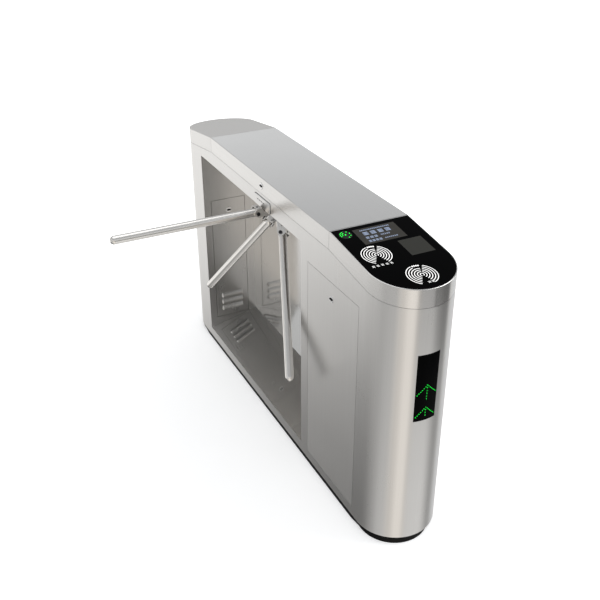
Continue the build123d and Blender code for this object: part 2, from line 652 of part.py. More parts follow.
def make_lock(face, turn, reach, label):
    """Barrel in the panel, and the plug that turns in it with its cam pointing along turn degrees."""
    with BuildPart() as barrel:
        with BuildSketch(face.offset(-CAM_DEPTH)):
            Circle(BARREL_RADIUS)
        extrude(amount=CAM_DEPTH)
        with BuildSketch(face):
            Circle(BARREL_RADIUS + RING_WIDTH)
        extrude(amount=RING_PROUD)
        chamfer(barrel.faces().sort_by(Axis(face.origin, face.z_dir))[-1].outer_wire().edges(), 1.0)
        with BuildSketch(face.offset(-CAM_DEPTH)):
            Circle(PLUG_RADIUS + RUNNING)
        extrude(amount=CAM_DEPTH + PAST, mode=Mode.SUBTRACT)
    save(barrel, label + "_barrel")
    with BuildPart() as plug:
        with BuildSketch(face.offset(-CAM_DEPTH)):
            Circle(PLUG_RADIUS)
        extrude(amount=CAM_DEPTH + PLUG_PROUD)
        with BuildSketch(face.offset(PLUG_PROUD)):
            with Locations(Location((0, 0, 0), (0, 0, turn))):
                SlotOverall(*KEY_SLOT)
        extrude(amount=-KEY_DEPTH, mode=Mode.SUBTRACT)
        with BuildSketch(face.offset(-CAM_DEPTH - CAM_GAP - CAM_THICK)):
            with Locations(Location((0, 0, 0), (0, 0, turn))):
                with Locations((reach / 2, 0)):
                    SlotOverall(reach + CAM_WIDTH, CAM_WIDTH)
        extrude(amount=CAM_THICK)
        with BuildSketch(face.offset(-CAM_DEPTH - CAM_GAP)):
            Circle(PLUG_RADIUS - 1)
        extrude(amount=CAM_GAP)
    save(plug, label + "_cam")


NEAR_LOCK_FACE = Plane(origin=(NEAR_LOCK[0], -HALF, NEAR_LOCK[1]), x_dir=(1, 0, 0), z_dir=(0, -1, 0))
LID_LOCK_FACE = Plane(origin=(LID_LOCK[0], -HALF, LID_LOCK[1]), x_dir=(1, 0, 0), z_dir=(0, -1, 0))
FAR_LOCK_FACE = Plane(origin=(NICHE_FAR, *FAR_LOCK), x_dir=(0, 1, 0), z_dir=(1, 0, 0))
make_lock(NEAR_LOCK_FACE, 180, NEAR_DOOR[3] - NEAR_LOCK[1] + 3, "near_lock")
make_lock(LID_LOCK_FACE, 0, LID_LOCK[1] - (HEIGHT - SKIRT) + 4, "lid_lock")
make_lock(FAR_LOCK_FACE, 180, FAR_DOOR[3] - FAR_LOCK[1] + 3, "far_lock")

# ---------------------------------------------------------------- tripod head
AXIS_OUT = Vector(0, -LEAN, -LEAN)         # along the hub axis, out of the cabinet
AXIS_UP = Vector(0, -LEAN, LEAN)           # square to the axis, towards the top arm
MECH = Plane(origin=HUB_POINT, x_dir=(1, 0, 0), z_dir=(0, LEAN, LEAN))
HUB_SIDE = Plane(origin=HUB_POINT, x_dir=(1, 0, 0), z_dir=(0, LEAN, -LEAN))
HUB_AXIS = Axis(HUB_POINT, AXIS_OUT)


def arm_plane(turn):
    """Plane across an arm: Z along the arm, X along its pivot bolt, turned about the hub axis."""
    radial = AXIS_UP * cos(radians(turn)) + Vector(1, 0, 0) * sin(radians(turn))
    across = AXIS_UP * -sin(radians(turn)) + Vector(1, 0, 0) * cos(radians(turn))
    return Plane(origin=HUB_POINT, x_dir=across, z_dir=(AXIS_OUT + radial) * LEAN)


ARMS = {"top": arm_plane(0), "left": arm_plane(-120), "right": arm_plane(120)}

# the core is a short cone under a neck, cut to one facet for each arm
CORE_RADIUS = 38.0
NECK_TOP = -14.0         # along the hub axis from HUB_POINT
NOSE = 62.0
SHAFT_END = 30.0
SHAFT_INSIDE = 104.0     # the other way, into the cabinet
with BuildPart() as hub_core:
    with BuildSketch(HUB_SIDE):
        with BuildLine():
            Polyline(
                (SHAFT_RADIUS, NECK_TOP),
                (NECK_RADIUS, NECK_TOP),
                (NECK_RADIUS, 16),
                (CORE_RADIUS - 4, 24),
                (CORE_RADIUS, 30),
                (CORE_RADIUS, NOSE),
                (0, NOSE),
                (0, SHAFT_END),
                (SHAFT_RADIUS, SHAFT_END),
                close=True,
            )
        make_face()
    revolve(axis=HUB_AXIS)
    for plane in ARMS.values():
        with BuildSketch(plane.offset(HUB_SEAT)):
            Rectangle(4 * CORE_RADIUS, 4 * CORE_RADIUS)
        extrude(amount=2 * CORE_RADIUS, mode=Mode.SUBTRACT)
save(hub_core, "hub_core")

with BuildPart() as main_shaft:
    with BuildSketch(MECH.offset(-SHAFT_END)):
        Circle(SHAFT_RADIUS)
    extrude(amount=SHAFT_END + SHAFT_INSIDE)
    chamfer(main_shaft.edges().filter_by(GeomType.CIRCLE).sort_by(Axis.Z)[-1], 1.5)
save(main_shaft, "main_shaft")

# each arm stands in a clevis whose shank is bolted to a hub facet
SHANK_HALF = 15.0
SHANK_LOW = -16.0
SHANK_HIGH = 5.0
SHANK_CHAMFER = 2.5
CLEVIS_BASE = 4.5
CHEEK_IN = 15.6
CHEEK_OUT = 20.0
CHEEK_LOW = -13.0
CHEEK_HIGH = 11.0        # at the seat, where it has to pass under the beam as the hub turns
CHEEK_END = 13.0         # the cheeks end this far past the bolt
BRIDGE_LOW = 16.0
BRIDGE_HIGH = 19.0
BRIDGE_START = SEAT + 8
BRIDGE_END = PIVOT + 4
HEAD_RADIUS = 6.5
HEAD_THICK = 3.5
HEAD_SOCKET = 3.4
SOCKET_DEPTH = 2.5
SCREW_RADIUS = 4.0       # ball screws
SCREW_SOCKET = 2.6
for label, plane in ARMS.items():
    with BuildPart() as clevis:
        with BuildSketch(plane.offset(HUB_SEAT)):
            with Locations((0, (SHANK_LOW + SHANK_HIGH) / 2)):
                Rectangle(2 * SHANK_HALF, SHANK_HIGH - SHANK_LOW)
        extrude(amount=SEAT - HUB_SEAT)
        chamfer(clevis.edges().filter_by(Axis(plane.origin, plane.z_dir)), SHANK_CHAMFER)
        with BuildSketch(plane.offset(SEAT)):
            with Locations((0, (CHEEK_LOW + CHEEK_HIGH) / 2)):
                Rectangle(2 * CHEEK_OUT, CHEEK_HIGH - CHEEK_LOW)
        extrude(amount=CLEVIS_BASE)
        cheek = Plane(origin=plane.origin, x_dir=plane.z_dir, z_dir=-plane.x_dir)
        for side in (CHEEK_IN, -CHEEK_OUT):
            with BuildSketch(cheek.offset(side)):
                with BuildLine():
                    Polyline(
                        (PIVOT, CHEEK_LOW),
                        (SEAT, CHEEK_LOW),
                        (SEAT, CHEEK_HIGH),
                        (BRIDGE_START, BRIDGE_HIGH),
                        (BRIDGE_END, BRIDGE_HIGH),
                        (PIVOT + CHEEK_END, 6),
                        (PIVOT + CHEEK_END, -6),
                        close=True,
                    )
                make_face()
                with Locations((PIVOT, 0)):
                    Circle(BOLT_RADIUS + RUNNING, mode=Mode.SUBTRACT)
            extrude(amount=CHEEK_OUT - CHEEK_IN)
        with BuildSketch(plane.offset(BRIDGE_START)):
            with Locations((0, (BRIDGE_LOW + BRIDGE_HIGH) / 2)):
                Rectangle(2 * CHEEK_IN, BRIDGE_HIGH - BRIDGE_LOW)
        extrude(amount=BRIDGE_END - BRIDGE_START)
        screw_plane = Plane(
            origin=plane.origin + plane.z_dir * (PIVOT - 4), x_dir=plane.x_dir, z_dir=plane.y_dir
        )
        with BuildSketch(screw_plane.offset(BRIDGE_LOW)):
            Circle(SCREW_RADIUS)
        extrude(amount=PAST, mode=Mode.SUBTRACT)
    save(clevis, f"clevis_{label}")

# tubular arms: ball root in the clevis, domed tip, closed bore
BORE_START = PIVOT + 22
for label, plane in ARMS.items():
    side = Plane(origin=plane.origin, x_dir=plane.x_dir, z_dir=-plane.y_dir)
    with BuildPart() as arm:
        with BuildSketch(side):
            with BuildLine():
                Line((0, PIVOT - ARM_RADIUS), (0, ARM_REACH))
                RadiusArc((0, PIVOT - ARM_RADIUS), (ARM_RADIUS, PIVOT), -ARM_RADIUS)
                Line((ARM_RADIUS, PIVOT), (ARM_RADIUS, ARM_REACH - ARM_RADIUS))
                RadiusArc(
                    (ARM_RADIUS, ARM_REACH - ARM_RADIUS), (0, ARM_REACH), -ARM_RADIUS
                )
            make_face()
        revolve(axis=Axis(plane.origin, plane.z_dir))
        with BuildSketch(plane.offset(BORE_START)):
            Circle(ARM_BORE)
        extrude(amount=ARM_REACH - ARM_RADIUS - BORE_START, mode=Mode.SUBTRACT)
        bolt_plane = Plane(
            origin=plane.origin + plane.z_dir * PIVOT, x_dir=plane.z_dir, z_dir=plane.x_dir
        )
        with BuildSketch(bolt_plane):
            Circle(BOLT_RADIUS + RUNNING)
        extrude(amount=CHEEK_OUT, both=True, mode=Mode.SUBTRACT)
    save(arm, f"arm_{label}")

with BuildPart() as pivot_bolts:
    for plane in ARMS.values():
        bolt_plane = Plane(
            origin=plane.origin + plane.z_dir * PIVOT, x_dir=plane.z_dir, z_dir=plane.x_dir
        )
        with BuildSketch(bolt_plane):
            Circle(BOLT_RADIUS)
        extrude(amount=CHEEK_OUT, both=True)
        for end in (CHEEK_OUT, -CHEEK_OUT - HEAD_THICK):
            with BuildSketch(bolt_plane.offset(end)):
                Circle(HEAD_RADIUS)
            extrude(amount=HEAD_THICK)
        for side in (1, -1):
            with BuildSketch(bolt_plane.offset(side * (CHEEK_OUT + HEAD_THICK))):
                RegularPolygon(HEAD_SOCKET, 6)
            extrude(amount=-side * SOCKET_DEPTH, mode=Mode.SUBTRACT)
save(pivot_bolts, "pivot_bolts")

# sprung ball screws in the clevis bridges hold each arm up
SCREW_START = BRIDGE_LOW - 1
SCREW_END = BRIDGE_HIGH + 0.5
with BuildPart() as plunger_screws:
    for plane in ARMS.values():
        screw_plane = Plane(
            origin=plane.origin + plane.z_dir * (PIVOT - 4), x_dir=plane.x_dir, z_dir=plane.y_dir
        )
        with BuildSketch(screw_plane.offset(SCREW_START)):
            Circle(SCREW_RADIUS)
        extrude(amount=SCREW_END - SCREW_START)
        with BuildSketch(screw_plane.offset(SCREW_END)):
            RegularPolygon(SCREW_SOCKET, 6)
        extrude(amount=-SOCKET_DEPTH, mode=Mode.SUBTRACT)
save(plunger_screws, "plunger_screws")

# ---------------------------------------------------------------- drive mechanism in the beam
FRONT_PLATE = 44.0       # distances along the hub axis, into the cabinet
FRONT_THICK = 6.0
REAR_PLATE = 72.0
REAR_THICK = 4.0
PLATE_WIDTH = 300.0
HOUSING_RADIUS = 28.0
BEARING_OUTER = 23.5
BEARING_WIDTH = 12.0
HOUSING_LENGTH = 32.0
TRAY_TOP = NICHE_TOP + SHEET

with BuildPart() as mech_front_plate:
    with BuildSketch(MECH.offset(FRONT_PLATE)):
        with Locations((0, -27)):
            Rectangle(PLATE_WIDTH, 106)
        Circle(SHAFT_RADIUS + 1, mode=Mode.SUBTRACT)
    extrude(amount=FRONT_THICK)
    for x in (-PLATE_WIDTH / 2, PLATE_WIDTH / 2 - 3):
        with BuildSketch(Plane.YZ.offset(x)):
            with BuildLine():
                Polyline(
                    (-16, TRAY_TOP + 7),
                    (-88, TRAY_TOP + 79),
                    (-74, TRAY_TOP + 79),
                    (60, TRAY_TOP + 9),
                    (60, TRAY_TOP),
                    (-10, TRAY_TOP),
                    close=True,
                )
            make_face()
        extrude(amount=3)
    for x in (-PLATE_WIDTH / 2 - 22, PLATE_WIDTH / 2):
        box_between((x, -5, TRAY_TOP), (x + 22, 60, TRAY_TOP + 3))
save(mech_front_plate, "mech_front_plate")

PAWL_PIVOT = (80.0, 30.0)                  # across, down the plate
DISC_LOW = 86.0
DISC_THICK = 8.0
with BuildPart() as mech_rear_plate:
    with BuildSketch(MECH.offset(REAR_PLATE)):
        with Locations((0, -4)):
            Rectangle(PLATE_WIDTH - 8, 112)
        Circle(HOUSING_RADIUS, mode=Mode.SUBTRACT)
    extrude(amount=REAR_THICK)
    with BuildSketch(MECH.offset(REAR_PLATE + REAR_THICK)):
        with Locations(PAWL_PIVOT, (-PAWL_PIVOT[0], PAWL_PIVOT[1])):
            Circle(7)
    extrude(amount=DISC_LOW - REAR_PLATE - REAR_THICK - 0.5)
    with BuildSketch(MECH.offset(REAR_PLATE + REAR_THICK)):
        with Locations(PAWL_PIVOT, (-PAWL_PIVOT[0], PAWL_PIVOT[1])):
            Circle(4)
    extrude(amount=DISC_LOW - REAR_PLATE - REAR_THICK + DISC_THICK + 3)
save(mech_rear_plate, "mech_rear_plate")

with BuildPart() as plate_spacers:
    with BuildSketch(MECH.offset(FRONT_PLATE + FRONT_THICK)):
        with Locations((-130, -48), (130, -48), (-130, 14), (130, 14)):
            RegularPolygon(7, 6)
    extrude(amount=REAR_PLATE - FRONT_PLATE - FRONT_THICK)
save(plate_spacers, "plate_spacers")

with BuildPart() as bearing_housing:
    with BuildSketch(MECH.offset(FRONT_PLATE + FRONT_THICK)):
        Circle(HOUSING_RADIUS)
        Circle(BEARING_OUTER, mode=Mode.SUBTRACT)
    extrude(amount=HOUSING_LENGTH)
    with BuildSketch(MECH.offset(FRONT_PLATE + FRONT_THICK)):
        Circle(HOUSING_RADIUS + 4)
        Circle(BEARING_OUTER, mode=Mode.SUBTRACT)
    extrude(amount=4)
save(bearing_housing, "bearing_housing")

with BuildPart() as shaft_bearings:
    for start in (FRONT_PLATE + FRONT_THICK, FRONT_PLATE + FRONT_THICK + HOUSING_LENGTH - BEARING_WIDTH):
        with BuildSketch(MECH.offset(start)):
            Circle(BEARING_OUTER)
            Circle(SHAFT_RADIUS + RUNNING, mode=Mode.SUBTRACT)
        extrude(amount=BEARING_WIDTH)
save(shaft_bearings, "shaft_bearings")

DISC_RADIUS = 55.0
NOTCH_WIDTH = 17.0
NOTCH_FLOOR = 46.0
with BuildPart() as index_disc:
    with BuildSketch(MECH.offset(DISC_LOW)):
        Circle(DISC_RADIUS)
        Circle(SHAFT_RADIUS, mode=Mode.SUBTRACT)
        with PolarLocations(NOTCH_FLOOR + 10, 6):
            Rectangle(20, NOTCH_WIDTH, mode=Mode.SUBTRACT)
        with PolarLocations(30, 6, start_angle=30):
            Circle(6, mode=Mode.SUBTRACT)
    extrude(amount=DISC_THICK)
    with BuildSketch(MECH.offset(DISC_LOW + DISC_THICK)):
        Circle(20)
        Circle(SHAFT_RADIUS, mode=Mode.SUBTRACT)
    extrude(amount=8)
save(index_disc, "index_disc")

# two locking pawls, one for each direction of turning, parked just clear of the disc
PAWL_TIP_X = DISC_RADIUS + 2.0
PAWL_TAIL = (84.0, 48.0)
SOLENOID_X = 100.0
SOLENOID_LENGTH = 40.0
PLUNGER_V = 46.0
for side, label in ((-1, "left"), (1, "right")):
    with BuildPart() as pawl:
        with BuildSketch(MECH.offset(DISC_LOW)):
            with BuildLine():
                Polyline(
                    (side * PAWL_TIP_X, -5),
                    (side * (PAWL_TIP_X + 9), -5),
                    (side * (PAWL_PIVOT[0] + 8), PAWL_PIVOT[1] - 4),
                    (side * (PAWL_PIVOT[0] + 8), PAWL_TAIL[1]),
                    (side * (PAWL_PIVOT[0] + 1), PAWL_TAIL[1]),
                    (side * (PAWL_PIVOT[0] - 8), PAWL_PIVOT[1] + 6),
                    (side * (PAWL_TIP_X + 4.5), 7),
                    (side * (PAWL_TIP_X + 1), 2),
                    close=True,
                )
            make_face()
            with Locations((side * PAWL_PIVOT[0], PAWL_PIVOT[1])):
                Circle(4 + RUNNING, mode=Mode.SUBTRACT)
        extrude(amount=DISC_THICK)
    save(pawl, f"pawl_{label}")
    with BuildPart() as plunger:
        rod = Plane(
            origin=MECH.from_local_coords((side * 91.0, PLUNGER_V, DISC_LOW + DISC_THICK / 2)),
            x_dir=MECH.z_dir,
            z_dir=MECH.x_dir * side,
        )
        with BuildSketch(rod):
            Circle(3.5)
        extrude(amount=36)
        with BuildSketch(rod):
            Circle(5.5)
        extrude(amount=4)
    save(plunger, f"plunger_{label}")

with BuildPart() as pawl_solenoids:
    for side in (-1, 1):
        centre = side * (SOLENOID_X + SOLENOID_LENGTH / 2)
        with BuildSketch(MECH.offset(REAR_PLATE + REAR_THICK)):
            with Locations((centre, PLUNGER_V - 2)):
                RectangleRounded(SOLENOID_LENGTH, 20, 2)
        extrude(amount=24)
        bore = Plane(
            origin=MECH.from_local_coords((side * SOLENOID_X, PLUNGER_V, DISC_LOW + DISC_THICK / 2)),
            x_dir=MECH.z_dir,
            z_dir=MECH.x_dir * side,
        )
        with BuildSketch(bore):
            Circle(3.8)
        extrude(amount=SOLENOID_LENGTH - 6, mode=Mode.SUBTRACT)
save(pawl_solenoids, "pawl_solenoids")

# ---------------------------------------------------------------- electronics in the near pillar
STANDOFF = 12.0
STANDOFF_RADIUS = 4.0
BOARD_BACK = INNER - STANDOFF
BOARD_FACE = BOARD_BACK - 1.6
BOARD = (400.0, 620.0, 480.0, 640.0)       # x low, x high, z low, z high
with BuildPart() as control_board:
    x_low, x_high, z_low, z_high = BOARD
    box_between((x_low, BOARD_FACE, z_low), (x_high, BOARD_BACK, z_high))
    with BuildSketch(Plane.XZ.offset(-BOARD_BACK)):
        with Locations(*[(x, z) for x in (x_low + 10, x_high - 10) for z in (z_low + 10, z_high - 10)]):
            Circle(STANDOFF_RADIUS)
    extrude(amount=-STANDOFF)
    for x_low, x_high, z_low, z_high, tall in (
        (415, 600, 606, 620, 14),
        (415, 520, 500, 514, 14),
        (460, 500, 545, 585, 5),
        (540, 600, 530, 570, 22),
    ):
        box_between((x_low, BOARD_FACE - tall, z_low), (x_high, BOARD_FACE, z_high))
save(control_board, "control_board")

SUPPLY = (430.0, 590.0, 300.0, 398.0)      # x low, x high, z low, z high
SUPPLY_DEPTH = 50.0
with BuildPart() as power_supply:
    x_low, x_high, z_low, z_high = SUPPLY
    box_between((x_low, INNER - SUPPLY_DEPTH, z_low), (x_high, INNER, z_high))
    with BuildSketch(Plane.XZ.offset(SUPPLY_DEPTH - INNER)):
        with Locations(((x_low + x_high) / 2, (z_low + z_high) / 2)):
            with GridLocations(14, 14, 9, 5):
                SlotOverall(10, 4)
    extrude(amount=-2, mode=Mode.SUBTRACT)
save(power_supply, "power_supply")
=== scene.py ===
"""Looks of the tripod turnstile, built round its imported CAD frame. Metres, +Z up."""

import json
from math import atan2, cos, pi, radians, sin, sqrt

import bpy
from mathutils import Matrix, Vector


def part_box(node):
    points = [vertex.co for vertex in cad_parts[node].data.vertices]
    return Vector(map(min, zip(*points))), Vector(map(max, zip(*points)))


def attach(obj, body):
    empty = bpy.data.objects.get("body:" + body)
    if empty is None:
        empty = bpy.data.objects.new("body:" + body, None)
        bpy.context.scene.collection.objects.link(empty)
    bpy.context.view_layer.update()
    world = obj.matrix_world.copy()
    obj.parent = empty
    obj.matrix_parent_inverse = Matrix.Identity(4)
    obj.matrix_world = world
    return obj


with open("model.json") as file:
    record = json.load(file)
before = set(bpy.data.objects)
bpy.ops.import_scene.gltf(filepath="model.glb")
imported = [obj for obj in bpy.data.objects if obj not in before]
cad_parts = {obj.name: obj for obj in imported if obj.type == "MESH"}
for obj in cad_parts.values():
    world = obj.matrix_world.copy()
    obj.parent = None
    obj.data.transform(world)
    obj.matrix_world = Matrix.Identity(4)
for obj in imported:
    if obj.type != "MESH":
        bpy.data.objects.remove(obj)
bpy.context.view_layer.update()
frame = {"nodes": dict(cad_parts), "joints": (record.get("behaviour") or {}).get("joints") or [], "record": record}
NODES = frame["nodes"]
MM = 0.001


# ---------------------------------------------------------------- places, read from the frame
def low(node):
    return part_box(node)[0]


def high(node):
    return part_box(node)[1]


def local_box(node, place, floor=-1.0):
    """Lowest and highest corner of a node in place's own axes, of its points above floor there."""
    inverse = place.inverted()
    points = [inverse @ v.co for v in NODES[node].data.vertices]
    points = [p for p in points if p.z > floor]
    lows = Vector(min(p[i] for p in points) for i in range(3))
    highs = Vector(max(p[i] for p in points) for i in range(3))
    return lows, highs


TOP = high("main_lid").z
SKIRT = TOP - low("main_lid").z
RIDGE_X = (high("main_lid").x + low("near_cap").x) / 2
END_X = high("near_cap").x
END_Z = low("near_cap").z + SKIRT
HALF = high("near_cap").y
FRONT_Y = -HALF

# axes of the sloped glass: X down the slope, Y across, Z out of the face
slope = Vector((END_X - RIDGE_X, 0, END_Z - TOP)).normalized()
GLASS = Matrix.Identity(4)
GLASS.col[0] = (*slope, 0)
GLASS.col[2] = (-slope.z, 0, slope.x, 0)
GLASS.col[3] = (RIDGE_X, 0, TOP, 1)


# ---------------------------------------------------------------- node helpers
class Shader:
    """A material's node tree, with short calls for the nodes used here."""

    def __init__(self, name):
        self.material = bpy.data.materials.new(name)
        self.material.use_nodes = True
        self.nodes = self.material.node_tree.nodes
        self.links = self.material.node_tree.links
        self.surface = self.nodes["Principled BSDF"]
        self.coords = self.nodes.new("ShaderNodeTexCoord").outputs["Object"]

    def set(self, **sockets):
        for key, value in sockets.items():
            self.surface.inputs[key.replace("_", " ")].default_value = value
        return self

    def plug(self, value, socket):
        if isinstance(value, bpy.types.NodeSocket):
            self.links.new(value, socket)
        else:
            socket.default_value = value

    def scaled(self, scale):
        node = self.nodes.new("ShaderNodeMapping")
        self.links.new(self.coords, node.inputs["Vector"])
        node.inputs["Scale"].default_value = scale
        return node.outputs["Vector"]

    def noise(self, scale, detail=2.0, rough=0.5, distortion=0.0):
        """Noise from 0 to 1; scale is in cycles per metre along X, Y and Z."""
        node = self.nodes.new("ShaderNodeTexNoise")
        self.links.new(self.scaled(scale), node.inputs["Vector"])
        node.inputs["Scale"].default_value = 1.0
        node.inputs["Detail"].default_value = detail
        node.inputs["Roughness"].default_value = rough
        node.inputs["Distortion"].default_value = distortion
        return node.outputs["Fac"]

    def remap(self, value, from_low, from_high, to_low, to_high):
        node = self.nodes.new("ShaderNodeMapRange")
        self.plug(value, node.inputs["Value"])
        for key, number in (
            ("From Min", from_low),
            ("From Max", from_high),
            ("To Min", to_low),
            ("To Max", to_high),
        ):
            node.inputs[key].default_value = number
        return node.outputs["Result"]

    def math(self, operation, a, b=0.0):
        node = self.nodes.new("ShaderNodeMath")
        node.operation = operation
        self.plug(a, node.inputs[0])
        self.plug(b, node.inputs[1])
        return node.outputs[0]

    def blend(self, factor, dark, light):
        node = self.nodes.new("ShaderNodeMix")
        node.data_type = "RGBA"
        self.plug(factor, node.inputs["Factor"])
        node.inputs["A"].default_value = (*dark, 1)
        node.inputs["B"].default_value = (*light, 1)
        return node.outputs["Result"]

    def colour(self, socket):
        self.plug(socket, self.surface.inputs["Base Color"])
        return self

    def roughness(self, socket):
        self.plug(socket, self.surface.inputs["Roughness"])
        return self

    def brushing(self, grain, amount):
        """Spread reflections across the grain axis."""
        normal = self.nodes.new("ShaderNodeNewGeometry").outputs["Normal"]
        cross = self.nodes.new("ShaderNodeVectorMath")
        cross.operation = "CROSS_PRODUCT"
        self.links.new(normal, cross.inputs[0])
        cross.inputs[1].default_value = GRAIN_AXIS[grain]
        self.links.new(cross.outputs["Vector"], self.surface.inputs["Tangent"])
        return self.set(Anisotropic=amount)

    def bump(self, height, strength, distance):
        node = self.nodes.new("ShaderNodeBump")
        node.inputs["Strength"].default_value = strength
        node.inputs["Distance"].default_value = distance
        self.plug(height, node.inputs["Height"])
        self.links.new(node.outputs["Normal"], self.surface.inputs["Normal"])
        return self


# ---------------------------------------------------------------- materials
ACROSS = 900.0           # brush lines per metre across the grain
ALONG = 5.0              # and along it
# slightly off the axes, so that no flat face is square to its grain
GRAIN_AXIS = {"x": (1, 0.03, 0.05), "y": (0.03, 1, 0.05), "z": (0.03, 0.05, 1)}
ALONG_GRAIN = 0.25       # turn of the spread: along the grain instead of across it
BRUSHED = {"x": (ALONG, ACROSS, ACROSS), "y": (ACROSS, ALONG, ACROSS), "z": (ACROSS, ACROSS, ALONG)}


def brushed_steel(name, grain, tint, rough, turn=0.0):
    """Stainless sheet with fine brush lines along one axis; turn is the turn of the spread."""
    s = Shader(name)
    lines = s.noise(BRUSHED[grain], 3.0, 0.6)
    coarse = s.noise(tuple(v * 0.18 for v in BRUSHED[grain]), 2.0, 0.5)
    smears = s.noise((7, 7, 5), 3.0, 0.55, 0.4)
    shade = s.math("ADD", s.math("MULTIPLY", lines, 0.6), s.math("MULTIPLY", coarse, 0.4))
    dark = tuple(v * 0.97 for v in tint)
    light = tuple(v * 1.02 for v in tint)
    s.brushing(grain, 0.7).set(Anisotropic_Rotation=turn)
    s.colour(s.blend(s.remap(shade, 0.3, 0.7, 0.0, 1.0), dark, light))
    variation = s.math("ADD", s.math("MULTIPLY", lines, 0.5), smears)
    s.roughness(s.remap(variation, 0.4, 1.1, rough * 0.96, rough * 1.05))
    s.bump(lines, 0.025, 0.00002)
    return s.set(Metallic=1.0).material


def polished_steel(name, tint, rough, metallic=1.0):
    """Near-mirror sheet: slow waves bend what it reflects, fine haze softens it."""
    s = Shader(name)
    waves = s.noise((2.2, 2.2, 2.6), 2.0, 0.5)
    haze = s.noise((30, 30, 22), 4.0, 0.6)
    s.colour(s.blend(haze, tuple(v * 0.95 for v in tint), tint))
    s.roughness(s.remap(haze, 0.3, 0.7, rough * 0.8, rough * 1.3))
    s.bump(waves, 0.35, 0.0012)
    return s.set(Metallic=metallic).material


def turned_steel(name, tint, rough, grain=1400.0):
    s = Shader(name)
    lines = s.noise((grain, grain, grain), 2.0, 0.6)
    patches = s.noise((24, 24, 24), 3.0, 0.55)
    s.colour(s.blend(patches, tuple(v * 0.9 for v in tint), tint))
    s.roughness(s.remap(lines, 0.3, 0.7, rough * 0.8, rough * 1.25))
    s.bump(lines, 0.08, 0.00003)
    return s.set(Metallic=1.0).material


def zinc_coat(name, tint):
    """Plated sheet: large pale crystals over a dull bright metal."""
    s = Shader(name)
    cells = s.nodes.new("ShaderNodeTexVoronoi")
    s.links.new(s.scaled((60, 60, 60)), cells.inputs["Vector"])
    cells.inputs["Scale"].default_value = 1.0
    spangle = s.remap(cells.outputs["Distance"], 0.0, 0.8, 0.0, 1.0)
    s.colour(s.blend(spangle, tuple(v * 0.8 for v in tint), tint))
    s.roughness(s.remap(s.noise((80, 80, 80)), 0.3, 0.7, 0.34, 0.5))
    return s.set(Metallic=1.0).material


def casting(name, tint, rough, metallic=1.0):
    s = Shader(name)
    grain = s.noise((420, 420, 420), 4.0, 0.65)
    patches = s.noise((35, 35, 35), 2.0)
    s.colour(s.blend(patches, tuple(v * 0.75 for v in tint), tint))
    s.roughness(s.remap(grain, 0.3, 0.7, rough * 0.85, rough * 1.2))
    s.bump(grain, 0.25, 0.0002)
    return s.set(Metallic=metallic).material


def coated(name, tint, rough, scale=600.0, depth=0.12, gloss=0.5):
    """Paint or moulded plastic with a fine skin texture."""
    s = Shader(name)
    skin = s.noise((scale, scale, scale), 3.0, 0.6)
    wear = s.noise((9, 9, 9), 3.0)
    s.colour(s.blend(wear, tuple(v * 0.8 for v in tint), tuple(v * 1.15 for v in tint)))
    s.roughness(s.remap(skin, 0.3, 0.7, rough * 0.85, rough * 1.15))
    s.bump(skin, depth, 0.0001)
    s.surface.inputs["Specular IOR Level"].default_value = gloss
    return s.material


def gloss_panel(name, tint, rough, gloss=0.5, spread=0.25):
    """Back-printed acrylic: very even, with faint smudges that only the gloss shows."""
    s = Shader(name)
    smudge = s.noise((14, 14, 14), 4.0, 0.6, 0.6)
    s.colour(s.blend(smudge, tint, tuple(v * (1 + spread) for v in tint)))
    s.roughness(s.remap(smudge, 0.35, 0.75, rough, rough * 1.8))
    s.surface.inputs["Specular IOR Level"].default_value = gloss
    return s.set(IOR=1.49).material


def lit(name, colour, strength, scale=220.0):
    """A lamp or lit mark: emission with a slightly uneven glow."""
    s = Shader(name)
    glow = s.noise((scale, scale, scale), 1.0)
    dim = tuple(v * 0.8 for v in colour)
    s.colour(s.blend(glow, tuple(v * 0.2 for v in colour), tuple(v * 0.3 for v in colour)))
    s.plug(s.blend(glow, dim, colour), s.surface.inputs["Emission Color"])
    return s.set(Emission_Strength=strength, Roughness=0.5).material


def circuit_board(name):
    s = Shader(name)
    tracks = s.noise((700, 700, 700), 1.0)
    mask = s.remap(tracks, 0.45, 0.55, 0.0, 1.0)
    s.colour(s.blend(mask, (0.008, 0.07, 0.025), (0.02, 0.14, 0.05)))
    return s.set(Roughness=0.35).material


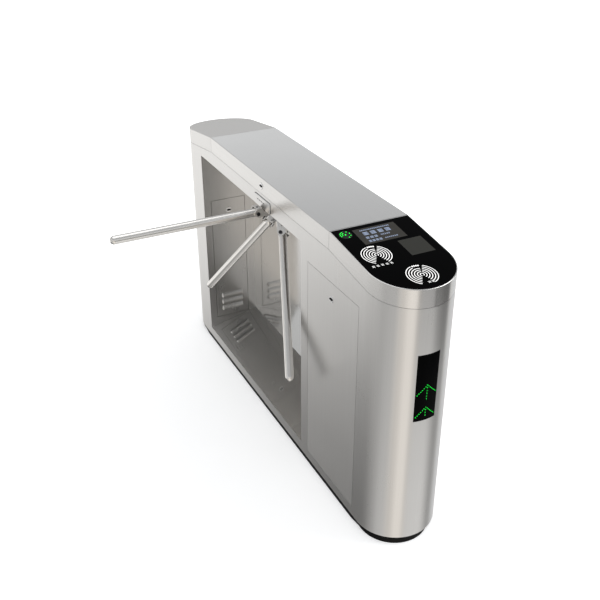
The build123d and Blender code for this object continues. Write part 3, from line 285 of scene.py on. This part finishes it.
STEEL = (0.66, 0.65, 0.635)
MATERIALS = {
    "cabinet_steel": brushed_steel("steel_vertical_brush", "z", STEEL, 0.28, ALONG_GRAIN),
    "top_steel": brushed_steel("steel_lengthwise_brush", "x", STEEL, 0.22),
    "polished_steel": polished_steel("steel_mirror", (0.60, 0.595, 0.585), 0.10),
    "arm_steel": turned_steel("steel_arm_polish", (0.80, 0.78, 0.75), 0.22),
    "plinth_paint": coated("black_powder_coat", (0.004, 0.004, 0.004), 0.5, gloss=0.08),
    "zinc_coat": zinc_coat("zinc_sheet", (0.55, 0.56, 0.58)),
    "plated_steel": turned_steel("bright_zinc_plate", (0.62, 0.62, 0.60), 0.26),
    "machined_steel": turned_steel("ground_steel", (0.58, 0.57, 0.56), 0.22),
    "cast_alloy": casting("cast_aluminium", (0.62, 0.63, 0.64), 0.38),
    "hub_iron": casting("hub_casting", (0.36, 0.355, 0.35), 0.36),
    "dark_bolt": turned_steel("black_oxide", (0.06, 0.06, 0.065), 0.34),
    "lock_chrome": turned_steel("lock_chrome_plate", (0.78, 0.78, 0.78), 0.10, 200.0),
    "black_glass": gloss_panel("black_acrylic", (0.0008, 0.0008, 0.0009), 0.08, 0.015),
    "display_face": gloss_panel("display_behind_acrylic", (0.042, 0.040, 0.036), 0.3, 0.03, 0.08),
    "scanner_face": gloss_panel("smoked_scanner_window", (0.036, 0.036, 0.032), 0.3, 0.03, 0.06),
    "green_lens": gloss_panel("indicator_lens_dark", (0.006, 0.012, 0.007), 0.12, 0.2),
    "circuit_board": circuit_board("green_solder_resist"),
    "black_plastic": coated("moulded_black_plastic", (0.02, 0.02, 0.021), 0.48),
}
NICHE_FLOOR = polished_steel("steel_floor_polish", (0.80, 0.79, 0.77), 0.05, 0.85)
DOOR_STEEL = brushed_steel("steel_door_brush", "z", STEEL, 0.32, ALONG_GRAIN)
RUBBER = coated("black_rubber", (0.006, 0.006, 0.007), 0.6, gloss=0.15)
CROSS_BRUSHED = brushed_steel("steel_crosswise_brush", "y", tuple(v * 0.97 for v in STEEL), 0.22)
LIT_GREEN = lit("led_green", (0.0, 1.0, 0.05), 3.0)
LIT_TEXT = lit("display_blue_white", (0.36, 0.44, 0.62), 0.75, 900.0)
# white print given a glow of its own: painted light, though the print is no lamp
GLOWING_WHITE_PRINT = lit("white_print_painted_glow", (1.0, 1.0, 0.99), 1.3)

for row in frame["record"]["subparts"]:
    node = NODES[row["node"]]
    node.data.materials.clear()
    node.data.materials.append(MATERIALS[row["material_slot"]])
NODES["far_cap"].data.materials[0] = CROSS_BRUSHED
NODES["niche_floor"].data.materials[0] = NICHE_FLOOR
NODES["near_door"].data.materials[0] = DOOR_STEEL


# ---------------------------------------------------------------- mesh helpers
def new_piece(name, vertices, faces, material, body):
    mesh = bpy.data.meshes.new(name)
    mesh.from_pydata([tuple(v) for v in vertices], [], faces)
    mesh.update()
    piece = bpy.data.objects.new(name, mesh)
    bpy.context.scene.collection.objects.link(piece)
    mesh.materials.append(material)
    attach(piece, body)
    return piece


EDGE_SHARE = 0.4         # of a prism's height that its upper edge is drawn in by
EDGE = 0.3 * MM          # and the most


class Mesh:
    """Collects closed solids into one mesh, each placed by a matrix."""

    def __init__(self):
        self.vertices = []
        self.faces = []

    def prism(self, place, outline, height):
        """A closed prism on place's XY plane, with slightly drawn-in upper edges."""
        start = len(self.vertices)
        count = len(outline)
        middle = Vector((sum(p[0] for p in outline), sum(p[1] for p in outline))) / count
        edge = min(height * EDGE_SHARE, EDGE)
        rings = ((0.0, 0.0), (height - edge, 0.0), (height, edge))
        for z, inset in rings:
            for p in outline:
                out = Vector(p) - middle
                if out.length > 3 * inset:
                    out -= out.normalized() * inset
                flat = middle + out
                self.vertices.append(place @ Vector((flat.x, flat.y, z)))
        self.faces.append(tuple(start + i for i in reversed(range(count))))
        self.faces.append(tuple(start + 2 * count + i for i in range(count)))
        for ring in range(2):
            base = start + ring * count
            for i in range(count):
                j = (i + 1) % count
                self.faces.append((base + i, base + j, base + count + j, base + count + i))

    def arc(self, place, radius, width, start_angle, end_angle, height, steps=40):
        """A flat raised arc with rounded ends, angles in degrees from X towards Y."""
        sweep = end_angle - start_angle
        angles = [radians(start_angle + sweep * i / steps) for i in range(steps + 1)]
        start = len(self.vertices)
        for a in angles:
            for r, z in (
                (radius - width / 2, 0.0),
                (radius - width / 2, height),
                (radius + width / 2, height),
                (radius + width / 2, 0.0),
            ):
                self.vertices.append(place @ Vector((r * cos(a), r * sin(a), z)))
        for i in range(steps):
            for k in range(4):
                a = start + 4 * i + k
                b = start + 4 * i + (k + 1) % 4
                self.faces.append((a, b, b + 4, a + 4))
        self.faces.append(tuple(start + k for k in (3, 2, 1, 0)))
        self.faces.append(tuple(start + 4 * steps + k for k in range(4)))

    def frame(self, place, outer, inner, height):
        """A closed flat frame between two outlines of as many points."""
        start = len(self.vertices)
        count = len(outer)
        for outline, z in ((outer, 0.0), (outer, height), (inner, height), (inner, 0.0)):
            for p in outline:
                self.vertices.append(place @ Vector((p[0], p[1], z)))
        for ring in range(4):
            base = start + ring * count
            onward = start + (ring + 1) % 4 * count
            for i in range(count):
                j = (i + 1) % count
                self.faces.append((base + i, base + j, onward + j, onward + i))

    def piece(self, name, material, body, slot):
        return new_piece(name, self.vertices, self.faces, material, body)


def circle(radius, steps=20, centre=(0.0, 0.0)):
    return [
        (centre[0] + radius * cos(2 * pi * i / steps), centre[1] + radius * sin(2 * pi * i / steps))
        for i in range(steps)
    ]


def rounded(x_low, x_high, y_low, y_high, radius, steps=6):
    """Outline of a rectangle with round corners, anticlockwise."""
    points = []
    corners = ((x_high, y_low, -90), (x_high, y_high, 0), (x_low, y_high, 90), (x_low, y_low, 180))
    for x, y, start in corners:
        centre_x = x - radius if x == x_high else x + radius
        centre_y = y - radius if y == y_high else y + radius
        for i in range(steps + 1):
            a = radians(start + 90 * i / steps)
            points.append((centre_x + radius * cos(a), centre_y + radius * sin(a)))
    return points


def bar(x_low, x_high, y_low, y_high):
    return [(x_low, y_low), (x_high, y_low), (x_high, y_high), (x_low, y_high)]


# ---------------------------------------------------------------- reader panel marks
MARK = 0.15 * MM         # height of printed and lit marks
FACE_FLOOR = -3 * MM     # points above this belong to a module's face
glass_top = local_box("reader_glass", GLASS)[1].z
ON_GLASS = GLASS @ Matrix.Translation((0, 0, glass_top))

RINGS = 6
RING_WIDTH = 2.3 * MM
READER_SHARE = 1.7       # a reader's side over the outer ring's radius
SPLIT = 154              # bearing of the gap between the half discs, from down the slope
UPPER_HALF = (6, 174)
LOWER_HALF = (-134, -6)
NOTCH = 34               # the outer rings of the upper half start this much later
NOTCHED_RINGS = 2
INNER_SHARE = 0.12       # the smallest ring's radius over the outer radius
RING_SPAN = 0.84         # and how much larger the largest one's is
NOTCH_BLOCKS = 4
NOTCH_START = 9          # bearing of the first block in the notch, after the gap
NOTCH_STEP = 8
NOTCH_SHARE = 0.93
NOTCH_BLOCK = bar(-3 * MM, 3 * MM, -2.2 * MM, 2.2 * MM)
# caption blocks: count, pitch, size, start down the slope over the outer radius, shift across
CAPTIONS = (
    (5, 15 * MM, 8 * MM, 1.02, -10 * MM),
    (2, 12 * MM, 8 * MM, 0.72, 6 * MM),
)
CAPTION_STROKES = (0.0, 0.4, 0.8)
CAPTION_STROKE = 0.15


def card_marks():
    """Two ring marks in two half discs each, over the card readers."""
    inverse = GLASS.inverted()
    points = [inverse @ v.co for v in NODES["card_readers"].data.vertices]
    middle_x = (min(p.x for p in points) + max(p.x for p in points)) / 2
    marks = Mesh()
    groups = [p for p in points if p.x < middle_x], [p for p in points if p.x >= middle_x]
    for group, (blocks, pitch, size, start_down, shift) in zip(groups, CAPTIONS):
        x = (min(p.x for p in group) + max(p.x for p in group)) / 2
        y = (min(p.y for p in group) + max(p.y for p in group)) / 2
        outer = (max(p.y for p in group) - min(p.y for p in group)) / READER_SHARE
        place = ON_GLASS @ Matrix.Translation((x, y, 0))
        for ring in range(RINGS):
            radius = outer * (INNER_SHARE + RING_SPAN * ring / (RINGS - 1))
            notch = NOTCH if ring >= RINGS - NOTCHED_RINGS else 0
            for (start, end), skipped in ((UPPER_HALF, notch), (LOWER_HALF, 0)):
                marks.arc(place, radius, RING_WIDTH, SPLIT + start + skipped, SPLIT + end, MARK)
        # plain blocks where wording would be: in the notch, and below the rings
        for i in range(NOTCH_BLOCKS):
            angle = radians(SPLIT + NOTCH_START + NOTCH_STEP * i)
            reach = outer * NOTCH_SHARE
            spot = Matrix.Translation((reach * cos(angle), reach * sin(angle), 0))
            marks.prism(place @ spot @ Matrix.Rotation(angle, 4, "Z"), NOTCH_BLOCK, MARK)
        for i in range(blocks):
            across = shift + (i - (blocks - 1) / 2) * pitch - size / 2
            for stroke in CAPTION_STROKES:
                down = outer * start_down + stroke * size
                block = bar(down, down + CAPTION_STROKE * size, across, across + size)
                marks.prism(place, block, MARK)
    # the white ring marks and blocks glow: painted light on printed marks
    return marks.piece("card_ring_marks", GLOWING_WHITE_PRINT, "cabinet", "display_face")


card_marks()


STROKES = 3              # bars in each block
STROKE_FILL = 0.6
# down the display, row height, start across, block width, gap between, count: shares of its size
DISPLAY_ROWS = (
    (0.10, 0.07, 0.14, 0.030, 0.012, 17),
    (0.26, 0.21, 0.16, 0.115, 0.060, 4),
    (0.56, 0.13, 0.14, 0.070, 0.030, 3),
    (0.56, 0.08, 0.50, 0.030, 0.015, 5),
    (0.78, 0.13, 0.14, 0.060, 0.022, 4),
    (0.80, 0.07, 0.52, 0.030, 0.015, 7),
)


def display_rows():
    """Lit rows of plain blocks on the display, standing in for writing."""
    lows, highs = local_box("display_module", GLASS, FACE_FLOOR)
    place = GLASS @ Matrix.Translation((0, 0, highs.z))
    length = highs.x - lows.x
    width = highs.y - lows.y
    rows = Mesh()
    for down, tall, left, block, gap, count in DISPLAY_ROWS:
        x = lows.x + length * down
        y = lows.y + width * left
        for _ in range(count):
            for stroke in range(STROKES):
                step = tall * length / STROKES
                x0 = x + stroke * step
                rows.prism(place, bar(x0, x0 + STROKE_FILL * step, y, y + block * width), MARK)
            y += (block + gap) * width
    return rows.piece("display_rows", LIT_TEXT, "cabinet", "display_face")


display_rows()


DOT_RISE = 0.5           # a dot's height over its radius
DOT_STEPS = 12


def dot(mesh, place, radius):
    """A small round lamp with a drawn-in edge."""
    mesh.prism(place, circle(radius, DOT_STEPS), DOT_RISE * radius)


LENS_DOT = 0.06
LENS_MIDDLE = 0.09
# each arc's radius over the lens's, and the bearings of its dots
LENS_ARCS = (
    (0.78, (20, 62, 104, 146)),
    (0.80, (198, 220, 242, 264, 286)),
    (0.48, (205, 242, 279)),
)


def pass_indicator():
    """Green dots in the round lens: a middle one, part of a ring, and two short arcs."""
    lows, highs = local_box("indicator_lens", GLASS, FACE_FLOOR)
    centre = (lows + highs) / 2
    radius = (highs.x - lows.x) / 2
    place = GLASS @ Matrix.Translation((centre.x, centre.y, highs.z))
    lamps = Mesh()
    dot(lamps, place, LENS_MIDDLE * radius)
    for share, angles in LENS_ARCS:
        for angle in angles:
            spot = (share * radius * cos(radians(angle)), share * radius * sin(radians(angle)), 0)
            dot(lamps, place @ Matrix.Translation(spot), LENS_DOT * radius)
    return lamps.piece("pass_indicator_lamps", LIT_GREEN, "cabinet", "green_lens")


pass_indicator()


# ---------------------------------------------------------------- arrow window lamps
def window_place(across, height):
    """A place on the curved window's face, its Z pointing out."""
    centre_x = END_X - HALF
    angle = atan2(across, sqrt(HALF * HALF - across * across))
    out = Vector((cos(angle), sin(angle), 0))
    place = Matrix.Identity(4)
    place.col[0] = (-sin(angle), cos(angle), 0, 0)
    place.col[1] = (0, 0, 1, 0)
    place.col[2] = (*out, 0)
    place.col[3] = (centre_x + HALF * out.x, HALF * out.y, height, 1)
    return place


# each arrow's tip over the window's height, and the dots in its stem
ARROWS = ((0.54, 5), (0.20, 3))
WING_SHARE = 0.84        # of the window's half width
WING_DOTS = 7
WING_FALL = 32 * MM
DOT_PITCH = 10 * MM
DOT_RADIUS = 1.0 * MM


def arrow_lamps():
    """Two upward arrows of green dots in the window's lower half."""
    window_low, window_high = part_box("arrow_window")
    tall = window_high.z - window_low.z
    wing = WING_SHARE * window_high.y
    lamps = Mesh()
    for apex, stem in ARROWS:
        top = window_low.z + apex * tall
        for i in range(WING_DOTS):
            share = i / (WING_DOTS - 1)
            for side in (-1, 1) if i else (1,):
                dot(lamps, window_place(side * share * wing, top - share * WING_FALL), DOT_RADIUS)
        for i in range(1, stem + 1):
            dot(lamps, window_place(0, top - i * DOT_PITCH), DOT_RADIUS)
    return lamps.piece("arrow_lamps", LIT_GREEN, "cabinet", "green_lens")


arrow_lamps()


# ---------------------------------------------------------------- small dark details
SHADE_BAR_LONG = 19 * MM      # black bar on each lock's plug, painted shade standing in for the dark keyway
SHADE_BAR_WIDE = 6 * MM
SHADE_BAR_LOW = 1.6 * MM      # just clear of the barrel's flange, from the skin's face
SHADE_BAR_TALL = 1.6 * MM
SHADE_BAR_NECK = 4.5 * MM


def keyway_shade_bars():
    """A black bar on each lock's plug, painted shade standing in for the dark keyway; it turns with the plug."""
    for lock, along in (("near_lock", (1, 0, 0)), ("lid_lock", (1, 0, 0)), ("far_lock", (0, 1, 0))):
        joint = next(j for j in frame["joints"] if j["name"] == lock + "_turn")
        out = Vector(joint["axis"]).normalized()
        along = Vector(along)
        place = Matrix.Identity(4)
        for column, axis in enumerate((along, out.cross(along), out, Vector(joint["pos_m"]))):
            place.col[column] = (*axis, float(column == 3))
        turn = Mesh()
        turn.prism(place, circle(SHADE_BAR_NECK), SHADE_BAR_LOW)
        raised = place @ Matrix.Translation((0, 0, SHADE_BAR_LOW))
        half_long = SHADE_BAR_LONG / 2
        half_wide = SHADE_BAR_WIDE / 2
        outline = rounded(-half_long, half_long, -half_wide, half_wide, half_wide * 0.98)
        turn.prism(raised, outline, SHADE_BAR_TALL)
        # the black bar is painted shade where the keyway looks dark
        turn.piece(lock + "_keyway_shade_bar", RUBBER, lock, "black_plastic")


GASKET_OUT = 1.6 * MM
GASKET_IN = 1.0 * MM
GASKET_PROUD = 0.8 * MM
PLATE_ROUND = 8 * MM
PLATE_SLOTS = (-36 * MM, -20 * MM, -4 * MM, 12 * MM)
PLATE_SLOT_Z = 24 * MM
SLOT_SHADE_DEPTH = 2.1 * MM
SLOT_LONG = 5.2 * MM     # half length, half height and corner radius of a slot's black fill, painted shade
SLOT_TALL = 1.8 * MM
SLOT_ROUND = 1.7 * MM
GASKET_FOOT = 0.2 * MM   # the gasket's foot stays above the plate's lower edge


def face_plate_details():
    """A thin gasket round the plate over the hub, and black fills in its slots: painted shade for the dark behind
    them.
    """
    lows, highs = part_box("mechanism_face_plate")
    place = Matrix(((1, 0, 0, 0), (0, 0, -1, FRONT_Y), (0, 1, 0, 0), (0, 0, 0, 1)))
    outer = rounded(
        lows.x - GASKET_OUT,
        highs.x + GASKET_OUT,
        lows.z + GASKET_FOOT,
        highs.z + GASKET_OUT,
        PLATE_ROUND,
    )
    inner = rounded(
        lows.x + GASKET_IN,
        highs.x - GASKET_IN,
        lows.z + GASKET_IN,
        highs.z - GASKET_IN,
        PLATE_ROUND,
    )
    details = Mesh()
    details.frame(place, outer, inner, GASKET_PROUD)
    # black fills in the slots: painted shade
    for x in PLATE_SLOTS:
        z = lows.z + PLATE_SLOT_Z
        slot_shade = rounded(x - SLOT_LONG, x + SLOT_LONG, z - SLOT_TALL, z + SLOT_TALL, SLOT_ROUND)
        details.prism(place, slot_shade, SLOT_SHADE_DEPTH)
    details.piece("face_plate_gasket_and_slot_shade", RUBBER, "cabinet", "black_plastic")


SHADOW_STRIP_OUT = 5 * MM        # thickness of the black strip along the plinth's front, painted shadow for the dark line at the cabinet's foot
SHADOW_STRIP_TALL = 23 * MM
SHADOW_STRIP_TAPER = 40 * MM


def painted_shadow_strip():
    """A black strip in the rubber material along the plinth's straight front, painted shadow standing in for the
    dark line at the cabinet's foot; tapered to nothing at both ends.
    """
    face = low("plinth").y
    end = END_X - HALF
    outline = (
        (-end, face),
        (SHADOW_STRIP_TAPER - end, face - SHADOW_STRIP_OUT),
        (end - SHADOW_STRIP_TAPER, face - SHADOW_STRIP_OUT),
        (end, face),
    )
    # painted shadow: a black strip where the foot of the cabinet is in shade
    shadow_strip = Mesh()
    shadow_strip.prism(Matrix.Identity(4), outline, SHADOW_STRIP_TALL)
    shadow_strip.piece("painted_shadow_strip", RUBBER, "cabinet", "black_plastic")


keyway_shade_bars()
face_plate_details()
painted_shadow_strip()


# ---------------------------------------------------------------- floor, world, lights, camera
floor_mesh = bpy.data.meshes.new("studio_floor")
REACH = 30.0
corners = [(-REACH, -REACH, 0), (REACH, -REACH, 0), (REACH, REACH, 0), (-REACH, REACH, 0)]
floor_mesh.from_pydata(corners, [], [(0, 1, 2, 3)])
floor = bpy.data.objects.new("studio_floor", floor_mesh)
bpy.context.scene.collection.objects.link(floor)
paper = Shader("studio_paper")
fibres = paper.noise((3, 3, 3))
paper.colour(paper.blend(fibres, (0.90, 0.90, 0.90), (0.92, 0.92, 0.92)))
distance = paper.nodes.new("ShaderNodeVectorMath")
distance.operation = "LENGTH"
paper.links.new(paper.coords, distance.inputs[0])
# painted light: the floor glows more with distance from the middle, 0.42 near the cabinet to 0.85 beyond 2.1 m, so
# it reads darker round the cabinet and white far off
glow = paper.remap(distance.outputs["Value"], 0.9, 2.1, 0.42, 0.85)
paper.plug(glow, paper.surface.inputs["Emission Strength"])
paper.set(Roughness=0.9, Emission_Color=(1, 1, 1, 1))
floor_mesh.materials.append(paper.material)
floor.visible_glossy = False


class World:
    """The studio as the steel sees it: brightness by height and bearing."""

    def __init__(self):
        self.world = bpy.data.worlds.new("studio")
        bpy.context.scene.world = self.world
        self.world.use_nodes = True
        self.nodes = self.world.node_tree.nodes
        self.links = self.world.node_tree.links
        coords = self.nodes.new("ShaderNodeTexCoord")
        parts = self.nodes.new("ShaderNodeSeparateXYZ")
        self.links.new(coords.outputs["Generated"], parts.inputs[0])
        x, y, z = parts.outputs
        self.height = self.math("MULTIPLY", self.math("ARCSINE", z), 180 / pi)
        self.bearing = self.math("MULTIPLY", self.math("ARCTAN2", y, x), 180 / pi)

    def math(self, operation, a, b=0.0):
        node = self.nodes.new("ShaderNodeMath")
        node.operation = operation
        for value, socket in zip((a, b), node.inputs):
            if isinstance(value, bpy.types.NodeSocket):
                self.links.new(value, socket)
            else:
                socket.default_value = value
        return node.outputs[0]

    def step(self, value, start, end):
        """0 below start, 1 above end, smooth between."""
        node = self.nodes.new("ShaderNodeMapRange")
        node.interpolation_type = "SMOOTHSTEP"
        self.links.new(value, node.inputs["Value"])
        node.inputs["From Min"].default_value = start
        node.inputs["From Max"].default_value = end
        return node.outputs["Result"]

    def ramp(self, value, stops):
        """Brightness through (degrees, level) stops, smooth between them."""
        total = stops[0][1]
        for (start, before), (end, after) in zip(stops, stops[1:]):
            share = self.math("MULTIPLY", self.step(value, start, end), after - before)
            total = self.math("ADD", total, share)
        return total

    def window(self, value, start, end, soft_low, soft_high):
        """1 between start and end, with soft edges."""
        rise = self.step(value, start, start + soft_low)
        fall = self.math("SUBTRACT", 1.0, self.step(value, end - soft_high, end))
        return self.math("MULTIPLY", rise, fall)

    def tint(self, factor, before, after):
        node = self.nodes.new("ShaderNodeMix")
        node.data_type = "RGBA"
        self.links.new(factor, node.inputs["Factor"])
        for value, key in ((before, "A"), (after, "B")):
            if isinstance(value, bpy.types.NodeSocket):
                self.links.new(value, node.inputs[key])
            else:
                node.inputs[key].default_value = (*value, 1)
        return node.outputs["Result"]

    def finish(self, level, warm, cool):
        colour = self.tint(warm, (1.0, 0.995, 0.985), (1.0, 0.955, 0.90))
        colour = self.tint(cool, colour, (0.955, 0.975, 1.0))
        self.links.new(level, self.nodes["Background"].inputs["Strength"])
        self.links.new(colour, self.nodes["Background"].inputs["Color"])


world = World()
# height in degrees, brightness
SKY = (
    (-60, 0.80),
    (-12, 0.85),
    (-4, 0.62),
    (10, 0.62),
    (14.5, 1.12),
    (18, 1.0),
    (25, 0.55),
    (50, 0.50),
    (90, 0.60),
)
FRONT_FADE = ((-60, 0.05), (-38, 0.12), (-23, 1.34), (-15, 1.46), (-2, 1.0))
sky = world.ramp(world.height, SKY)
# the passage side fades towards the floor
front_side = world.window(world.bearing, -190, -66, 5, 60)
fade = world.math("SUBTRACT", world.ramp(world.height, FRONT_FADE), 1.0)
front = world.math("ADD", 1.0, world.math("MULTIPLY", front_side, fade))


def dimmed(amount, *windows):
    """1, less amount where all the windows overlap."""
    share = windows[0]
    for more in windows[1:]:
        share = world.math("MULTIPLY", share, more)
    return world.math("SUBTRACT", 1.0, world.math("MULTIPLY", share, amount))


def bearings(*limits):
    return world.window(world.bearing, *limits)


def heights(*limits):
    return world.window(world.height, *limits)


# a bright card and dark flags stand beyond the reader end
flag_height = heights(-36, 4, 6, 16)
card = dimmed(-0.38, bearings(-44, 0, 22, 12), heights(-80, 0, 10, 20))
glow_below = dimmed(-0.34, bearings(-12, 62, 20, 16), heights(-56, -31, 16, 5))
wide_flag = dimmed(0.56, bearings(-12, 90, 12, 6), flag_height)
deep_flag = dimmed(0.70, bearings(34, 88, 14, 6), flag_height)
low_flag = dimmed(0.46, bearings(62, 98, 12, 12), heights(-60, -33, 12, 5))
side_dip = dimmed(0.27, bearings(-110, -46, 30, 12), heights(-50, 0, 14, 14))
level = sky
for factor in (front, card, glow_below, wide_flag, deep_flag, low_flag, side_dip):
    level = world.math("MULTIPLY", level, factor)
# warm towards the passage, cool above and beyond the end
warm = bearings(-62, 8, 22, 14)
cool = world.math("ADD", world.step(world.height, 8, 16), bearings(96, 124, 8, 14))
world.finish(level, warm, cool)


def soft_light(name, place, target, size, power):
    light = bpy.data.lights.new(name, "AREA")
    light.shape = "RECTANGLE"
    light.size, light.size_y = size
    light.energy = power
    holder = bpy.data.objects.new(name, light)
    bpy.context.scene.collection.objects.link(holder)
    holder.location = place
    holder.rotation_euler = (Vector(target) - Vector(place)).to_track_quat("-Z", "Y").to_euler()
    return holder


soft_light("key_softbox", (1.5, 3.0, 3.6), (0, 0, 0.3), (2.4, 2.4), 90)
soft_light("overhead_softbox", (-0.5, -0.6, 4.2), (0, 0, 0), (3.5, 3.5), 40)

# the camera stands off the reader end on the passage side, looking down
AIM = Vector((-0.0008, 0.0059, 0.4790))
BEARING = radians(63.6)
RISE = radians(29.45)
DISTANCE = 3.203
ROLL = radians(-0.16)
LENS = 50.13             # focal length and sensor width, millimetres
SENSOR = 36.0
NEAR_CLIP = 0.05
camera_data = bpy.data.cameras.new("camera")
camera = bpy.data.objects.new("camera", camera_data)
bpy.context.scene.collection.objects.link(camera)
offset = Vector((sin(BEARING) * cos(RISE), -cos(BEARING) * cos(RISE), sin(RISE)))
camera.location = AIM + DISTANCE * offset
camera.rotation_euler = (AIM - camera.location).to_track_quat("-Z", "Y").to_euler()
camera.rotation_euler.rotate_axis("Z", ROLL)
camera_data.lens = LENS
camera_data.sensor_width = SENSOR
camera_data.clip_start = NEAR_CLIP
bpy.context.scene.camera = camera
bpy.context.scene.view_settings.view_transform = "Standard"
